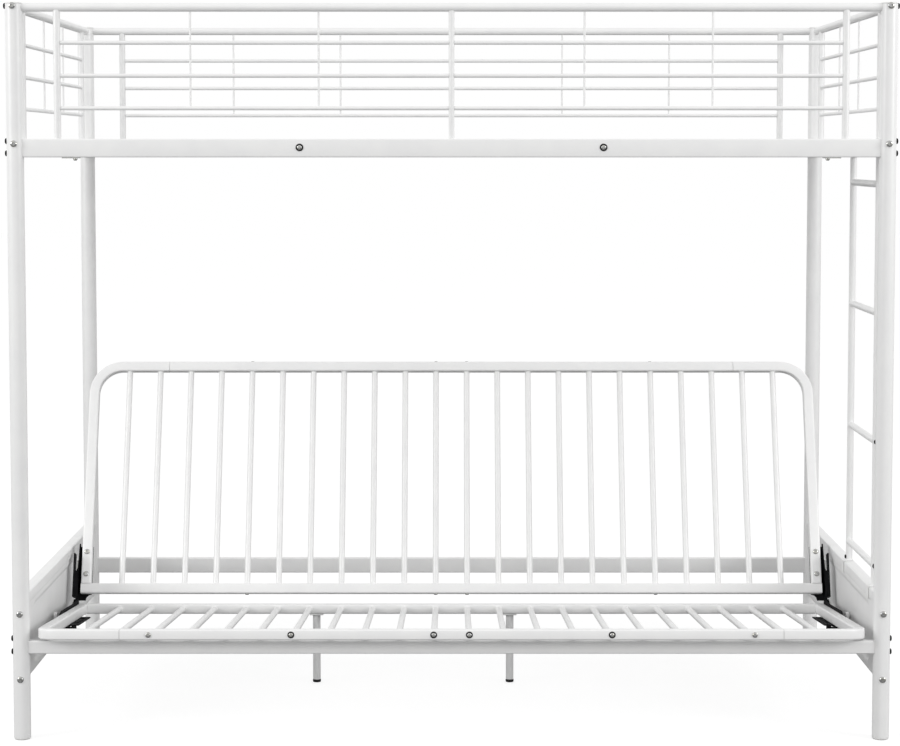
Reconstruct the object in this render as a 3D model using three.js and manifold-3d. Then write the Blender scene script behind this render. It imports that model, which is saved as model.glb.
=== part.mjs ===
// A twin-over-futon bunk bed in white powder-coated steel tube.
// Millimetres, +X to the right, the front towards -Y, +Z up. The origin lies on the floor,
// under the middle of the bed's box.
import * as THREE from 'three';
import { mergeVertices } from 'three/addons/utils/BufferGeometryUtils.js';
import Module from 'manifold-3d';

const wasm = await Module();
wasm.setup();

// Clearances
const fitGap = 0.3; // between pieces that touch
const overrun = 5; // how far a cut passes the face that it opens
const weldSink = 0.8; // how deep a welded end sits in the wall that it meets

// Posts
const clearLength = 1905; // between the posts, along the mattress
const clearDepth = 965; // between the posts, front to rear
const totalHeight = 1657;
const postDiameter = 38;
const postWall = 1.5;
const capThickness = 3;
const glideThickness = 5;
const plugDepth = 14;
const plugWall = 2;
const postRadius = postDiameter / 2;
const postX = clearLength / 2 + postRadius;
const postY = clearDepth / 2 + postRadius;

// Upper guard, the same at the front and at the rear
const topRailDiameter = 19;
const topRailDrop = 11; // its centre below the posts' tops
const guardHeight = 291; // from the side rail's top to the top rail's centre
const barDiameter = 9;
const barShares = [0.732, 0.4811, 0.2337]; // of the guard's height
const uprightDiameter = 16;
const centreUprightDiameter = 13;
const uprightInset = 95; // from the post's centre to the end upright's centre
const rodDiameter = 5;
const rodShares = [0.6621, 0.3368]; // of the way from the middle to the end upright
const guardEndX = postX - uprightInset;
const topRailHeight = totalHeight - topRailDrop;
const sideRailTop = topRailHeight - guardHeight;
const barHeights = barShares.map((share) => sideRailTop + share * guardHeight);
const lowestBar = Math.min(...barHeights);

// Upper side rails and end rails, and the deck that the mattress lies on
const sideRailHeight = 41;
const railThickness = 20;
const railWall = 1.5;
const endRodSpread = 131.5; // each thin rod of an end frame from the bed's middle
const crossBarWidth = 20;
const crossBarX = 338;
const ledgeDrop = 14; // the ledge's top below the side rail's
const ledgeThickness = 3;
const ledgeWidth = 26.5;
const deckTubeDiameter = 12;
const deckTubeCount = 5; // in each half of the deck
const deckMiddleGap = 46; // from the bed's middle to the nearest tube
const deckEdgeGap = 56.5; // from the posts' inner faces to the farthest tube
const deckTieWidth = 25;
const deckTieThickness = 3.3;
const deckTieShares = [-0.945, -0.672, 0, 0.672, 0.945]; // of half the clear length
const sideRailCentre = sideRailTop - sideRailHeight / 2;
const sideRailBottom = sideRailTop - sideRailHeight;
const ledgeTop = sideRailTop - ledgeDrop;
const deckLastTube = clearDepth / 2 - deckEdgeGap;
const deckTubePitch = (deckLastTube - deckMiddleGap) / (deckTubeCount - 1);

// Lower beams and end panels
const frontBeamDrop = 20; // its top below the seat's front edge
const frontBeamHeight = 29;
const rearBeamTop = 232;
const rearBeamHeight = 40;
const panelTop = 330;
const panelBottom = 136;
const panelInset = 13.5; // rim's inner face from the posts' centre line
const rimWidth = 27;
const rimHeight = 25;
const sheetSet = 4; // the sheet's inner face behind the rim's
const sheetThickness = 3;
const footFlangeWidth = 20;
const pressBorder = 18; // plain strip round the pressed field
const pressEnd = 52; // from the post to the pressed field
const pressDepth = 4;
const pressRadius = 38;
const rimInnerX = postX - panelInset;
const sheetX = rimInnerX + sheetSet;

// Ladder at the right end
const ladderTubeDiameter = 16;
const ladderRearInset = 422; // rear stile behind the front post's centre
const rungShares = [0.938, 0.64, 0.34, 0.049]; // of the stiles' height above the panel
const footPlateThickness = 3;
const footPlateWidth = 18;
const footPlateDrop = 31;
const ladderX = postX;
const ladderFrontY = -postY + uprightInset;
const ladderRearY = -postY + ladderRearInset;
const rungHeights = rungShares.map((share) => panelTop + share * (sideRailBottom - panelTop));

// Futon frames
const degree = Math.PI / 180;
const seatEndGap = 18.5; // from the posts' inner faces, along the bed
const backEndGap = 22.5;
const futonTubeWidth = 25; // in the plane of the seat or the back
const futonTubeHeight = 24; // across that plane
const futonTubeWall = 1.5;
const futonTubeCorner = 4;
const seatBendRadius = 50; // outside of the bend
const backBendRadius = 85;
const slatDiameter = 14.5;
const slatEdge = 105.5; // from the seat's outer side to the last slat
const slatCount = 22;
const seatTilt = 5.9 * degree;
const seatFrontAhead = 29.5; // front rail's centre ahead of the posts' centre line
const seatFrontHeight = 245;
const frontBeamTop = seatFrontHeight - frontBeamDrop;
const seatRearAhead = 3.1; // rear rail's centre before the pivot, along the seat
const seatSeamInset = 189; // the seam from the seat's outer side
const backLean = 19.7 * degree;
const backFootBehind = 572; // bottom rail's centre behind the front posts' centre line
const backFootHeight = 231;
const backReach = 574; // bottom rail to top rail, centre to centre
const backSeamInset = 204;
const seamGap = 0.2; // each tube's end from the middle of the seam
const seatHalfWidth = clearLength / 2 - seatEndGap;
const backHalfWidth = clearLength / 2 - backEndGap;
const seatSeamX = seatHalfWidth - seatSeamInset;
const backSeamX = backHalfWidth - backSeamInset;
const slatPitch = (2 * (seatHalfWidth - slatEdge)) / (slatCount - 1);

// Futon mechanism, one set at each end
const pivotRise = 9.3; // pivot above the seat's plane and before the back's plane
const slideForward = 150; // of the pivot, from sitting to lying flat
const slideRise = 62; // of the pivot over the same travel
const armThickness = 3;
const carriageThickness = 4;
const pivotDiameter = 10;
const lobeRadius = 14;
const seatArmLength = 290; // ahead of the pivot
const seatArmLip = 6; // its web above the seat tube
const seatArmShoulder = 235; // ahead of the pivot, where the web begins to taper
const seatArmNose = 8; // radius at its front end
const seatFlangeFrom = 80; // ahead of the pivot
const seatFlangeTo = 270;
const seatFlangeWidth = 47;
const seatFlangeHoleDiameter = 12;
const seatFlangeHolePitch = 95;
const backArmLength = 158; // from the pivot along the back
const backArmTipRadius = 3;
const backFlangeFrom = 14; // from the pivot along the back
const backFlangeWidth = 35.6;
const backFlangeTip = 8; // the flange ends below the web's tip
const backFlangeNotchRadius = 15;
const backRibThickness = 9.4; // on the outer side of the web
const backRibFrom = 20; // from the pivot along the back
const backRibTo = 86;
const backRibBefore = 6; // before the pivot's line along the back
const backStripTo = 130; // the rib's outer wall runs on to here
const linkThickness = 3;
const linkWidth = 11;
const linkFrom = 88; // from the pivot along the back
const linkTo = 115;
const linkBehind = 14; // behind the pivot's line along the back
const shoeDrop = 68.3; // rear end of the shoe below the pivot
const shoeLength = 36; // between the centres of its round ends
const shoeWidth = 12;
const shoeThickness = 16;
const carriageFootRadius = 11;
const slotPlay = 0.3; // between the shoe and each edge of its slot
const trackThickness = 8;
const trackBorder = 6; // round the slot

// Support legs under the seat's rear rail
const legDiameter = 19;
const legWall = 1.2;
const legXs = [-337, 146];
const legFloorGap = 1;
const legFootThickness = 7;
const legFootWiden = 0.6;
const saddleLength = 34;
const saddleThickness = 3;

// Facets
const postSides = 24;
const plugSides = 12;
const smallSides = 12;
const tubeArc = 6; // segments in half a turn of a tube
const slatArc = 5; // segments in half a turn of a slat
const thinArc = 4; // segments in half a turn of a thin bar
const rodArc = 3; // segments in half a turn of a thin rod
const pressArc = 3; // segments in half of each corner of a pressed field
const cornerArc = 1; // segments in half of a small corner
const bendSteps = 8;

const plain = (color, roughness, metalness) => () =>
  new THREE.MeshStandardMaterial({ color, roughness, metalness });
const white = plain(0xededeb, 0.35, 0.0);
const whitePlastic = plain(0xe6e6e4, 0.5, 0.0);
const black = plain(0x18181a, 0.45, 0.2);
const blackPlastic = plain(0x101011, 0.7, 0.0);
const zinc = plain(0xb4b7ba, 0.35, 0.85);

const v3 = (x, y, z) => new THREE.Vector3(x, y, z);
const v2 = (x, y) => new THREE.Vector2(x, y);

// Booleans
function solidOf(geometry) {
  const bare = geometry.clone();
  bare.deleteAttribute('normal');
  bare.deleteAttribute('uv');
  const merged = mergeVertices(bare);
  const triVerts = Uint32Array.from(merged.index.array);
  const vertProperties = Float32Array.from(merged.attributes.position.array);
  return new wasm.Manifold(new wasm.Mesh({ numProp: 3, vertProperties, triVerts }));
}

function geometryOf(solid) {
  const mesh = solid.getMesh();
  const geometry = new THREE.BufferGeometry();
  const places = Float32Array.from(mesh.vertProperties);
  geometry.setAttribute('position', new THREE.BufferAttribute(places, mesh.numProp));
  geometry.setIndex(new THREE.BufferAttribute(Uint32Array.from(mesh.triVerts), 1));
  geometry.computeVertexNormals();
  return geometry;
}

function joined(geometries) {
  return geometryOf(geometries.map(solidOf).reduce((whole, next) => whole.add(next)));
}

function cut(geometry, tools) {
  return geometryOf(tools.map(solidOf).reduce((rest, tool) => rest.subtract(tool), solidOf(geometry)));
}

function mirrored(geometry) {
  return geometryOf(solidOf(geometry).mirror([1, 0, 0]));
}

// A path through given points, with one step from each to the next
class StepPath extends THREE.Curve {
  constructor(points) {
    super();
    this.points = points;
  }

  getPoint(share, target = new THREE.Vector3()) {
    const place = share * (this.points.length - 1);
    const index = Math.min(Math.floor(place), this.points.length - 2);
    return target.lerpVectors(this.points[index], this.points[index + 1], place - index);
  }

  getPointAt(share, target) {
    return this.getPoint(share, target);
  }

  getTangentAt(share, target) {
    return this.getTangent(share, target);
  }
}

// A section's x stands upright and its y lies level while the path runs level
function swept(section, points, arc = tubeArc) {
  const path = new StepPath(points);
  const steps = points.length - 1;
  const options = { steps, extrudePath: path, bevelEnabled: false, curveSegments: arc };
  return new THREE.ExtrudeGeometry(section, options);
}

function boxOutline(path, width, height) {
  path.moveTo(-width / 2, -height / 2);
  path.lineTo(width / 2, -height / 2);
  path.lineTo(width / 2, height / 2);
  path.lineTo(-width / 2, height / 2);
  path.closePath();
  return path;
}

function roundedOutline(path, width, height, radius) {
  const x = width / 2 - radius;
  const y = height / 2 - radius;
  path.absarc(x, y, radius, 0, Math.PI / 2, false);
  path.absarc(-x, y, radius, Math.PI / 2, Math.PI, false);
  path.absarc(-x, -y, radius, Math.PI, 1.5 * Math.PI, false);
  path.absarc(x, -y, radius, 1.5 * Math.PI, 2 * Math.PI, false);
  path.closePath();
  return path;
}

function roundSection(diameter) {
  const shape = new THREE.Shape();
  shape.absarc(0, 0, diameter / 2, 0, 2 * Math.PI, false);
  return shape;
}

function boxSection(upright, level) {
  const shape = boxOutline(new THREE.Shape(), upright, level);
  shape.holes.push(boxOutline(new THREE.Path(), upright - 2 * railWall, level - 2 * railWall));
  return shape;
}

function futonSection() {
  const shape = roundedOutline(new THREE.Shape(), futonTubeHeight, futonTubeWidth, futonTubeCorner);
  const boreHeight = futonTubeHeight - 2 * futonTubeWall;
  shape.holes.push(boxOutline(new THREE.Path(), boreHeight, futonTubeWidth - 2 * futonTubeWall));
  return shape;
}

function bar(from, to, diameter, arc = tubeArc) {
  return swept(roundSection(diameter), [from, to], arc);
}

function block(fromX, toX, fromY, toY, fromZ, toZ) {
  const box = new THREE.BoxGeometry(toX - fromX, toY - fromY, toZ - fromZ);
  return box.translate((fromX + toX) / 2, (fromY + toY) / 2, (fromZ + toZ) / 2);
}

function standing(radius, bottom, top, sides) {
  const rod = new THREE.CylinderGeometry(radius, radius, top - bottom, sides);
  return rod.rotateX(Math.PI / 2).translate(0, 0, (bottom + top) / 2);
}

// A turned piece about +Z from a closed run of [radius, height] pairs
function turned(profile, sides) {
  const points = [...profile, profile[0]].map(([radius, height]) => v2(radius, height));
  return new THREE.LatheGeometry(points, sides).rotateX(Math.PI / 2);
}

// The outline round a run of circles { x, y, r }, given anticlockwise
function roundedPlate(circles) {
  const shape = new THREE.Shape();
  const tangent = (from, to) => {
    const heading = Math.atan2(to.y - from.y, to.x - from.x);
    const distance = Math.hypot(to.x - from.x, to.y - from.y);
    return heading - Math.acos((from.r - to.r) / distance);
  };
  circles.forEach((circle, i) => {
    const before = circles[(i + circles.length - 1) % circles.length];
    const after = circles[(i + 1) % circles.length];
    shape.absarc(circle.x, circle.y, circle.r, tangent(before, circle), tangent(circle, after), false);
  });
  return shape;
}

// A plate across the bed: the outline's x is the plate's y, its y is the plate's z
function endPlate(shape, fromX, toX, arc = thinArc) {
  const options = { depth: toX - fromX, bevelEnabled: false, curveSegments: arc };
  const plate = new THREE.ExtrudeGeometry(shape, options);
  return plate.rotateX(Math.PI / 2).rotateZ(Math.PI / 2).translate(fromX, 0, 0);
}

const bed = new THREE.Group();

function add(name, geometry, material, parent = bed) {
  const mesh = new THREE.Mesh(geometry, material());
  mesh.name = name;
  parent.add(mesh);
  return mesh;
}

// The piece at the right end and its mirror image at the left end
function addPair(name, geometry, material, parent = bed) {
  add(`${name}_right`, geometry, material, parent);
  add(`${name}_left`, mirrored(geometry), material, parent);
}

// Posts with their caps and glides
const corners = [
  { name: 'front_left', x: -postX, y: -postY },
  { name: 'front_right', x: postX, y: -postY },
  { name: 'rear_left', x: -postX, y: postY },
  { name: 'rear_right', x: postX, y: postY },
];
const postBottom = glideThickness + fitGap;
const postTop = totalHeight - capThickness - fitGap;

function postTube() {
  const bore = postRadius - postWall;
  const profile = [[bore, postBottom], [postRadius, postBottom], [postRadius, postTop], [bore, postTop]];
  return turned(profile, postSides);
}

// A hollow-skirted end piece; its face is at zero height and its plug runs up from there
function tubeEnd(outerRadius, plugRadius, thickness, edge) {
  return turned([
    [0, 0],
    [outerRadius - edge, 0],
    [outerRadius, edge],
    [outerRadius, thickness],
    [plugRadius, thickness],
    [plugRadius, thickness + plugDepth],
    [plugRadius - plugWall, thickness + plugDepth],
    [plugRadius - plugWall, thickness],
    [0, thickness],
  ], plugSides);
}

function addPost(corner) {
  const plugRadius = postRadius - postWall - fitGap;
  const glide = tubeEnd(postRadius, plugRadius, glideThickness, glideThickness / 2);
  const cap = tubeEnd(postRadius, plugRadius, capThickness, capThickness / 2);
  add(`post_${corner.name}`, postTube(), white).position.set(corner.x, corner.y, 0);
  add(`post_glide_${corner.name}`, glide, whitePlastic).position.set(corner.x, corner.y, 0);
  const placedCap = add(`post_cap_${corner.name}`, cap, whitePlastic);
  placedCap.position.set(corner.x, corner.y, totalHeight);
  placedCap.rotation.x = Math.PI;
}

corners.forEach(addPost);

// Ends shaped to the round posts
const postTools = corners.map(({ x, y }) =>
  standing(postRadius + fitGap, -overrun, totalHeight + overrun, postSides).translate(x, y, 0));
const coped = (geometry) => cut(geometry, postTools);

function lengthwiseRail(y, section, height) {
  return coped(swept(section, [v3(-postX, y, height), v3(postX, y, height)]));
}

// Upper guards
function guardGrille(y) {
  const foot = sideRailTop + fitGap;
  const upright = (x, bottom, diameter, arc) => bar(v3(x, y, bottom), v3(x, y, topRailHeight), diameter, arc);
  const bars = [
    upright(-guardEndX, foot, uprightDiameter),
    upright(guardEndX, foot, uprightDiameter),
    upright(0, foot, centreUprightDiameter),
  ];
  for (const height of barHeights) {
    bars.push(bar(v3(-guardEndX, y, height), v3(guardEndX, y, height), barDiameter, thinArc));
  }
  for (const share of rodShares) {
    bars.push(upright(-share * guardEndX, lowestBar, rodDiameter, rodArc));
    bars.push(upright(share * guardEndX, lowestBar, rodDiameter, rodArc));
  }
  const room = bar(v3(-postX, y, topRailHeight), v3(postX, y, topRailHeight), topRailDiameter + 2 * fitGap);
  return cut(joined(bars), [room]);
}

for (const [name, y] of [['front', -postY], ['rear', postY]]) {
  add(`guard_top_rail_${name}`, lengthwiseRail(y, roundSection(topRailDiameter), topRailHeight), white);
  add(`guard_grille_${name}`, guardGrille(y), white);
  const sideSection = boxSection(sideRailHeight, railThickness);
  add(`side_rail_${name}`, lengthwiseRail(y, sideSection, sideRailCentre), white);
}

// Lower beams
function lowerBeam(y, top, height) {
  return lengthwiseRail(y, boxSection(height, railThickness), top - height / 2);
}

add('lower_beam_front', lowerBeam(-postY, frontBeamTop, frontBeamHeight), white);
add('lower_beam_rear', lowerBeam(postY, rearBeamTop, rearBeamHeight), white);

// Upper end frames, each one welded piece with a ledge for the deck
function endFrame() {
  const uprightY = postY - uprightInset;
  const across = (z, reach, diameter, arc) => bar(v3(postX, -reach, z), v3(postX, reach, z), diameter, arc);
  const upright = (y, bottom, diameter, arc) =>
    bar(v3(postX, y, bottom), v3(postX, y, topRailHeight), diameter, arc);
  const railInnerX = postX - railThickness / 2;
  const ledgeReach = postY - railThickness / 2 - fitGap;
  const pieces = [
    across(topRailHeight, postY, topRailDiameter),
    swept(boxSection(sideRailHeight, railThickness),
      [v3(postX, -postY, sideRailCentre), v3(postX, postY, sideRailCentre)]),
    upright(-uprightY, sideRailTop - weldSink, uprightDiameter),
    upright(uprightY, sideRailTop - weldSink, uprightDiameter),
    upright(-endRodSpread, lowestBar, rodDiameter, rodArc),
    upright(endRodSpread, lowestBar, rodDiameter, rodArc),
    ...barHeights.map((height) => across(height, uprightY, barDiameter, thinArc)),
    block(railInnerX - ledgeWidth, railInnerX + weldSink, -ledgeReach, ledgeReach,
      ledgeTop - ledgeThickness, ledgeTop),
  ];
  return coped(joined(pieces));
}

addPair('end_frame', endFrame(), white);

// Deck under the upper mattress
function crossBar() {
  const reach = postY - railThickness / 2 - fitGap;
  const centre = ledgeTop - crossBarWidth / 2;
  return swept(boxSection(crossBarWidth, crossBarWidth), [v3(0, -reach, centre), v3(0, reach, centre)]);
}

add('deck_cross_bar_left', crossBar(), white).position.x = -crossBarX;
add('deck_cross_bar_right', crossBar(), white).position.x = crossBarX;

function deckPanel() {
  const tubeHeight = ledgeTop + fitGap + deckTubeDiameter / 2;
  const tieTop = ledgeTop + weldSink;
  const half = postX - railThickness / 2 - 2 * fitGap;
  const tubeYs = Array.from({ length: deckTubeCount }, (_, i) => deckMiddleGap + i * deckTubePitch);
  const tube = (y) => bar(v3(-half, y, tubeHeight), v3(half, y, tubeHeight), deckTubeDiameter, slatArc);
  const tieXs = deckTieShares.map((share) => (share * clearLength) / 2);
  const ties = tieXs.map((x) => block(x - deckTieWidth / 2, x + deckTieWidth / 2,
    deckMiddleGap - deckTubeDiameter, deckLastTube + deckTubeDiameter, tieTop - deckTieThickness, tieTop));
  return joined([...tubeYs.map(tube), ...ties]);
}

add('deck_panel_rear', deckPanel(), white);
add('deck_panel_front', deckPanel(), white).rotation.z = Math.PI;

// Lower end panels: a box rim along the top and a pressed sheet below it
function endPanel() {
  const sheetOuterX = sheetX + sheetThickness;
  const rimCentre = v3(rimInnerX + rimWidth / 2, 0, panelTop - rimHeight / 2);
  const rimBottom = panelTop - rimHeight;
  const rim = swept(boxSection(rimHeight, rimWidth),
    [v3(rimCentre.x, -postY, rimCentre.z), v3(rimCentre.x, postY, rimCentre.z)]);
  const sheet = block(sheetX, sheetOuterX, -postY, postY, panelBottom, rimBottom + weldSink);
  const flange = block(sheetX, sheetX + footFlangeWidth, -postY, postY,
    panelBottom, panelBottom + sheetThickness);
  const fieldLength = 2 * (postY - postRadius - pressEnd);
  const fieldHeight = rimBottom - panelBottom - 2 * pressBorder;
  const fieldCentre = (rimBottom + panelBottom) / 2;
  const press = (grow, fromX, toX) => {
    const size = [fieldLength + 2 * grow, fieldHeight + 2 * grow, pressRadius + grow];
    const outline = roundedOutline(new THREE.Shape(), ...size);
    return endPlate(outline, fromX, toX, pressArc).translate(0, 0, fieldCentre);
  };
  const body = joined([rim, sheet, flange, press(sheetThickness, sheetX, sheetOuterX + pressDepth)]);
  return coped(cut(body, [press(0, sheetX - overrun, sheetX + pressDepth)]));
}

addPair('end_panel', endPanel(), white);

// Ladder at the right end
const footPlateTop = panelTop + fitGap + footPlateThickness;

function ladderStile(y) {
  const bottom = footPlateTop + fitGap;
  return bar(v3(ladderX, y, bottom), v3(ladderX, y, sideRailBottom - fitGap), ladderTubeDiameter);
}

function ladderFootPlate(y) {
  const innerX = rimInnerX - fitGap - footPlateThickness;
  const outerX = ladderX + ladderTubeDiameter / 2;
  const half = footPlateWidth / 2;
  const level = block(innerX, outerX, y - half, y + half, footPlateTop - footPlateThickness, footPlateTop);
  const hanging = block(innerX, innerX + footPlateThickness, y - half, y + half,
    footPlateTop - footPlateDrop, footPlateTop);
  return joined([level, hanging]);
}

for (const [name, y] of [['front', ladderFrontY], ['rear', ladderRearY]]) {
  add(`ladder_stile_${name}`, ladderStile(y), white);
  add(`ladder_foot_plate_${name}`, ladderFootPlate(y), white);
}

const stileTools = [ladderFrontY, ladderRearY].map((y) =>
  bar(v3(ladderX, y, 0), v3(ladderX, y, totalHeight), ladderTubeDiameter + 2 * fitGap));

rungHeights.forEach((height, i) => {
  const rung = bar(v3(ladderX, ladderFrontY, height), v3(ladderX, ladderRearY, height), ladderTubeDiameter);
  add(`ladder_rung_${i + 1}`, cut(rung, stileTools), white);
});

// The pivot is above the seat's plane and before the back's plane by the same amount,
// so that both lie level once the futon is flat
const seatNormal = v2(Math.sin(seatTilt), Math.cos(seatTilt));
const seatAlong = v2(Math.cos(seatTilt), -Math.sin(seatTilt));
const backNormal = v2(-Math.cos(backLean), Math.sin(backLean));
const backAlong = v2(Math.sin(backLean), Math.cos(backLean));
const seatFront = v2(-postY - seatFrontAhead, seatFrontHeight);
const backFoot = v2(-postY + backFootBehind, backFootHeight);
const seatLevel = seatFront.dot(seatNormal) + pivotRise;
const backLevel = backFoot.dot(backNormal) + pivotRise;
const crossing = seatNormal.cross(backNormal);
const pivot = v2(
  (seatLevel * backNormal.y - backLevel * seatNormal.y) / crossing,
  (backLevel * seatNormal.x - seatLevel * backNormal.x) / crossing);
const seatFrontLocal = seatFront.clone().sub(pivot).dot(seatAlong);
const seatRearLocal = -seatRearAhead;
const backFootLocal = backFoot.clone().sub(pivot).dot(backAlong);
const backTopLocal = backFootLocal + backReach;

// Seat, back and carriages have their own groups at the pivot.
// In the seat and the back y runs along the frame and z points to the sitter.
function groupAtPivot(turn) {
  const group = new THREE.Group();
  group.position.set(0, pivot.x, pivot.y);
  group.rotation.x = turn;
  bed.add(group);
  return group;
}

const seat = groupAtPivot(-seatTilt);
const back = groupAtPivot(Math.PI / 2 - backLean);
const carriages = groupAtPivot(0);

const planeZ = -pivotRise;
const tubeHalf = futonTubeWidth / 2;
const underZ = planeZ - futonTubeHeight / 2;

// A side tube that runs along y, turns through a quarter bend and ends at a seam in the cross rail
function bentSide(halfWidth, openEnd, farRail, seamX, bendRadius) {
  const toFar = Math.sign(farRail - openEnd);
  const x = halfWidth - tubeHalf;
  const radius = bendRadius - tubeHalf;
  const points = [v3(x, openEnd, planeZ)];
  for (let i = 0; i <= bendSteps; i += 1) {
    const turn = (i / bendSteps) * (Math.PI / 2);
    const y = farRail + toFar * (radius * Math.sin(turn) - radius);
    points.push(v3(x - radius + radius * Math.cos(turn), y, planeZ));
  }
  points.push(v3(seamX + seamGap, farRail, planeZ));
  return swept(futonSection(), points, cornerArc);
}

const slatXs = Array.from({ length: slatCount }, (_, i) => (i - (slatCount - 1) / 2) * slatPitch);

function crossRail(y, half) {
  return swept(futonSection(), [v3(-half, y, planeZ), v3(half, y, planeZ)], cornerArc);
}

// A straight rail with the slats welded to it; the slats reach the other rail
function slatGrille(railY, farRail, railHalf) {
  const toFar = Math.sign(farRail - railY);
  const from = railY + toFar * (tubeHalf - weldSink);
  const to = farRail - toFar * (tubeHalf + fitGap);
  const slats = slatXs.map((x) => bar(v3(x, from, planeZ), v3(x, to, planeZ), slatDiameter, slatArc));
  return joined([crossRail(railY, railHalf), ...slats]);
}

const seatRearEnd = seatRearLocal + tubeHalf;
const backSideFoot = backFootLocal + tubeHalf + fitGap;
const seatRailHalf = seatHalfWidth - futonTubeWidth - fitGap;
const seatSide = bentSide(seatHalfWidth, seatRearEnd, seatFrontLocal, seatSeamX, seatBendRadius);
const backSide = bentSide(backHalfWidth, backSideFoot, backTopLocal, backSeamX, backBendRadius);
addPair('seat_side', seatSide, white, seat);
add('seat_front_rail', crossRail(seatFrontLocal, seatSeamX - seamGap), white, seat);
add('seat_grille', slatGrille(seatRearLocal, seatFrontLocal, seatRailHalf), white, seat);
addPair('back_side', backSide, white, back);
add('back_top_rail', crossRail(backTopLocal, backSeamX - seamGap), white, back);
add('back_grille', slatGrille(backFootLocal, backTopLocal, backHalfWidth), white, back);

// Plates of the mechanism, stacked outwards from the seat's side tube
const seatWebX = seatHalfWidth + fitGap;
const backWebX = seatWebX + armThickness + fitGap;
const carriageX = backWebX + armThickness + fitGap;
const shoeX = carriageX + carriageThickness + fitGap;
const trackX = sheetX - fitGap - trackThickness;
const flangeTop = underZ - fitGap;
const flangeFoot = flangeTop - armThickness;
const pivotHole = bar(v3(seatWebX - overrun, 0, 0), v3(carriageX, 0, 0), pivotDiameter + 2 * fitGap);
const upDown = (x, y, radius) =>
  standing(radius, flangeFoot - overrun, flangeTop + overrun, smallSides).translate(x, y, 0);

function seatArm() {
  const outer = seatWebX + armThickness;
  const inner = outer - seatFlangeWidth;
  const foot = flangeFoot - weldSink;
  const half = (planeZ + futonTubeHeight / 2 + seatArmLip - foot) / 2;
  const lobe = { x: 0, y: 0, r: lobeRadius };
  const waist = { x: -seatFlangeFrom, y: foot + half, r: half };
  const shoulder = { ...waist, x: -seatArmShoulder };
  const nose = { x: -seatArmLength + seatArmNose, y: foot + seatArmNose, r: seatArmNose };
  const webPart = (circles) => endPlate(roundedPlate(circles), seatWebX, outer);
  const flange = block(inner, seatWebX + weldSink, -seatFlangeTo, -seatFlangeFrom, flangeFoot, flangeTop);
  const holeX = inner + seatFlangeHoleDiameter;
  const middleY = -(seatFlangeFrom + seatFlangeTo) / 2;
  const holes = [-1, 1].map((side) =>
    upDown(holeX, middleY + (side * seatFlangeHolePitch) / 2, seatFlangeHoleDiameter / 2));
  const frontCorner = upDown(inner, -seatFlangeTo, seatFlangeHoleDiameter);
  const body = joined([webPart([lobe, waist]), webPart([waist, shoulder]), webPart([shoulder, nose]), flange]);
  return cut(body, [...holes, frontCorner, pivotHole]);
}

function backArm() {
  const outer = backWebX + armThickness;
  const inner = outer - backFlangeWidth;
  const tipY = flangeFoot - weldSink + backArmTipRadius;
  const web = endPlate(roundedPlate([
    { x: 0, y: 0, r: lobeRadius },
    { x: backFlangeFrom, y: tipY, r: backArmTipRadius },
    { x: backArmLength - backArmTipRadius, y: tipY, r: backArmTipRadius },
  ]), backWebX, outer);
  const flangeTo = backArmLength - backFlangeTip;
  const flange = block(inner, backWebX + weldSink, backFlangeFrom, flangeTo, flangeFoot, flangeTop);
  const notch = upDown(inner, backFlangeFrom, backFlangeNotchRadius);
  const rib = block(outer - weldSink, outer + backRibThickness, backRibFrom, backRibTo,
    underZ, backRibBefore);
  const ribOuter = outer + backRibThickness;
  const strip = block(ribOuter - armThickness, ribOuter, backRibFrom, backStripTo, underZ, backRibBefore);
  return cut(joined([web, flange, rib, strip]), [notch, pivotHole]);
}

function backLink() {
  const x = backWebX + armThickness + fitGap;
  const end = linkWidth / 2;
  return endPlate(roundedPlate([
    { x: linkFrom + end, y: -linkBehind, r: end },
    { x: linkTo - end, y: -linkBehind, r: end },
  ]), x, x + linkThickness);
}

addPair('seat_arm', seatArm(), black, seat);
addPair('back_arm', backArm(), black, back);
addPair('back_link', backLink(), zinc, back);

// The carriage holds the pivot; its shoe slides in the sloping slot of the track
const slideLength = Math.hypot(slideForward, slideRise);
const onSlope = (distance) => ({
  x: (-distance * slideForward) / slideLength,
  y: (distance * slideRise) / slideLength - shoeDrop,
});
const shoeEnds = [onSlope(shoeLength), onSlope(0)];

function carriage() {
  const outer = carriageX + carriageThickness;
  const feet = shoeEnds.map((end) => ({ ...end, r: carriageFootRadius }));
  const plate = endPlate(roundedPlate([{ x: 0, y: 0, r: lobeRadius }, ...feet]), carriageX, outer);
  const stud = bar(v3(seatWebX, 0, 0), v3(carriageX + weldSink, 0, 0), pivotDiameter);
  return joined([plate, stud]);
}

function slideShoe() {
  const outline = roundedPlate(shoeEnds.map((end) => ({ ...end, r: shoeWidth / 2 })));
  return endPlate(outline, shoeX, shoeX + shoeThickness);
}

function track() {
  const ends = [onSlope(slideLength + shoeLength), onSlope(0)];
  const slotRadius = shoeWidth / 2 + slotPlay;
  const outline = (radius) => roundedPlate(ends.map((end) => ({ ...end, r: radius })));
  const rail = endPlate(outline(slotRadius + trackBorder), trackX, trackX + trackThickness);
  return cut(rail, [endPlate(outline(slotRadius), trackX - overrun, sheetX + overrun)]);
}

addPair('carriage', carriage(), black, carriages);
addPair('slide_shoe', slideShoe(), blackPlastic, carriages);
for (const mesh of [add('track_right', track(), white), add('track_left', mirrored(track()), white)]) {
  mesh.position.set(0, pivot.x, pivot.y);
}

// Support legs: upright under the seat's rear rail, with a saddle against it
const legTopHeight = pivot.y - seatRearLocal * Math.sin(seatTilt) + planeZ * Math.cos(seatTilt);
const legLength = legTopHeight - legFloorGap - legFootThickness - fitGap;

// Turns a piece that hangs from the middle of the rear rail into the seat's own directions
function hangingAt(geometry, x) {
  return geometry.rotateX(seatTilt).translate(x, seatRearLocal, planeZ);
}

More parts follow.
